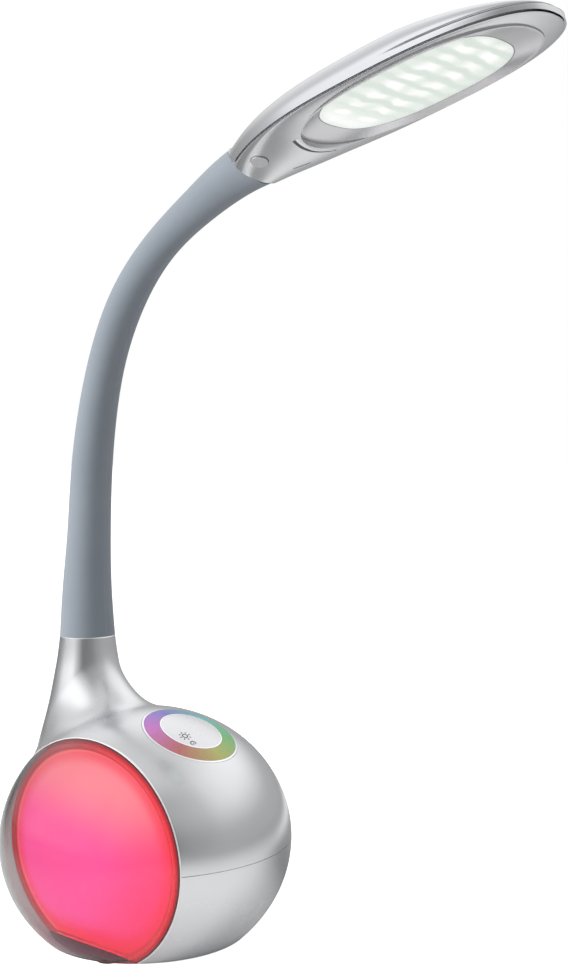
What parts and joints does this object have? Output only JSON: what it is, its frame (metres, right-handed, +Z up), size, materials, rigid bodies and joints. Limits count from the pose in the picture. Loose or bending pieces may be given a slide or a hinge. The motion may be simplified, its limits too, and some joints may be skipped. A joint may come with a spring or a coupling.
{
  "type": "desk lamp",
  "caption": "LED desk lamp with a globe base holding a colour mood light and touch pad, a flexible neck and an oval light head.",
  "frame": {"origin": "on the desk, under the centre of the globe", "axes": "+X forward from the neck towards the light head, +Z up, -Y out through the round mood window"},
  "size_m": [0.2774, 0.132, 0.3789],
  "materials": {
    "shell_silver": "satin silver paint",
    "head_silver": "glossy silver paint",
    "underside_silver": "satin silver paint",
    "bezel_silver": "satin silver paint",
    "trim_silver": "bright silver paint",
    "clear_plastic": "clear, polished",
    "mood_glow": "translucent, lit from behind",
    "white_plastic": "smooth",
    "touch_colours": "printed colour wheel under gloss",
    "touch_silver": "satin silver, two printed icons",
    "circuit_board": "solder resist",
    "components": "moulded",
    "led_chips": "phosphor",
    "black_plastic": "smooth",
    "lens_white": "translucent, lit from behind",
    "button_white": "smooth",
    "sleeve_grey": "matte silicone",
    "steel": "plain",
    "iron": "rough",
    "aluminium_plate": "plain",
    "wire_jacket": "smooth",
    "foot_rubber": "matte"
  },
  "bodies": {
    "base": {"body_upper_shell": "shell_silver", "body_lower_shell": "shell_silver", "clear_dome": "clear_plastic", "window_rim": "trim_silver", "mood_diffuser": "mood_glow", "light_reflector": "white_plastic", "mood_board": "circuit_board", "mood_leds": "led_chips", "touch_trim": "trim_silver", "touch_ring": "touch_colours", "touch_disc": "touch_silver", "touch_board": "circuit_board", "main_board": "circuit_board", "board_parts": "components", "board_standoffs": "steel", "dc_inlet": "black_plastic", "ballast": "iron", "rubber_feet": "foot_rubber", "centre_pad": "foot_rubber", "body_screws": "steel", "neck_ferrule": "white_plastic", "neck_leads": "wire_jacket", "sleeve_root": "sleeve_grey", "conduit_root": "steel"},
    "neck_1": {"sleeve_1": "sleeve_grey", "conduit_1": "steel", "wires_1": "wire_jacket"},
    "neck_2": {"sleeve_2": "sleeve_grey", "conduit_2": "steel", "wires_2": "wire_jacket"},
    "neck_3": {"sleeve_3": "sleeve_grey", "conduit_3": "steel", "wires_3": "wire_jacket"},
    "neck_4": {"sleeve_4": "sleeve_grey", "conduit_4": "steel", "wires_4": "wire_jacket"},
    "neck_5": {"sleeve_5": "sleeve_grey", "conduit_5": "steel", "wires_5": "wire_jacket"},
    "neck_6": {"sleeve_6": "sleeve_grey", "conduit_6": "steel", "wires_6": "wire_jacket"},
    "neck_7": {"sleeve_7": "sleeve_grey", "conduit_7": "steel", "wires_7": "wire_jacket"},
    "head": {"head_top_shell": "head_silver", "head_underside": "underside_silver", "head_bezel": "bezel_silver", "led_lens": "lens_white", "led_board": "circuit_board", "led_array": "led_chips", "heat_plate": "aluminium_plate", "head_screws": "steel", "button_switch": "components", "neck_bracket": "white_plastic", "head_leads": "wire_jacket", "sleeve_end": "sleeve_grey", "conduit_end": "steel"},
    "power_button": {"power_button": "button_white"}
  },
  "joints": [
    {"name": "bend_1", "type": "hinge", "parent": "base", "child": "neck_1", "pos_m": [-0.0386, 0, 0.1525], "axis": [0, 1, 0], "range_deg": [-25, 20]},
    {"name": "swing_2", "type": "hinge", "parent": "neck_1", "child": "neck_2", "pos_m": [-0.037, 0, 0.1795], "axis": [0.9978, 0, -0.0659], "range_deg": [-20, 20]},
    {"name": "bend_3", "type": "hinge", "parent": "neck_2", "child": "neck_3", "pos_m": [-0.035, 0, 0.207], "axis": [0, 1, 0], "range_deg": [-25, 20]},
    {"name": "swing_4", "type": "hinge", "parent": "neck_3", "child": "neck_4", "pos_m": [-0.0307, 0, 0.235], "axis": [0.9765, 0, -0.2156], "range_deg": [-20, 20]},
    {"name": "bend_5", "type": "hinge", "parent": "neck_4", "child": "neck_5", "pos_m": [-0.0227, 0, 0.2627], "axis": [0, 1, 0], "range_deg": [-25, 20]},
    {"name": "swing_6", "type": "hinge", "parent": "neck_5", "child": "neck_6", "pos_m": [-0.0089, 0, 0.2887], "axis": [0.8095, 0, -0.5871], "range_deg": [-20, 20]},
    {"name": "bend_7", "type": "hinge", "parent": "neck_6", "child": "neck_7", "pos_m": [0.0116, 0, 0.31], "axis": [0, 1, 0], "range_deg": [-25, 20]},
    {"name": "swing_8", "type": "hinge", "parent": "neck_7", "child": "head", "pos_m": [0.0372, 0, 0.326], "axis": [0.4713, 0, -0.882], "range_deg": [-20, 20]},
    {"name": "button_press", "type": "slide", "parent": "head", "child": "power_button", "axis": [-0.2245, 0.3279, 0.9176], "range_m": [0, 0.0008], "stiffness_N_per_m": 1500, "springref_m": -0.0002}
  ]
}
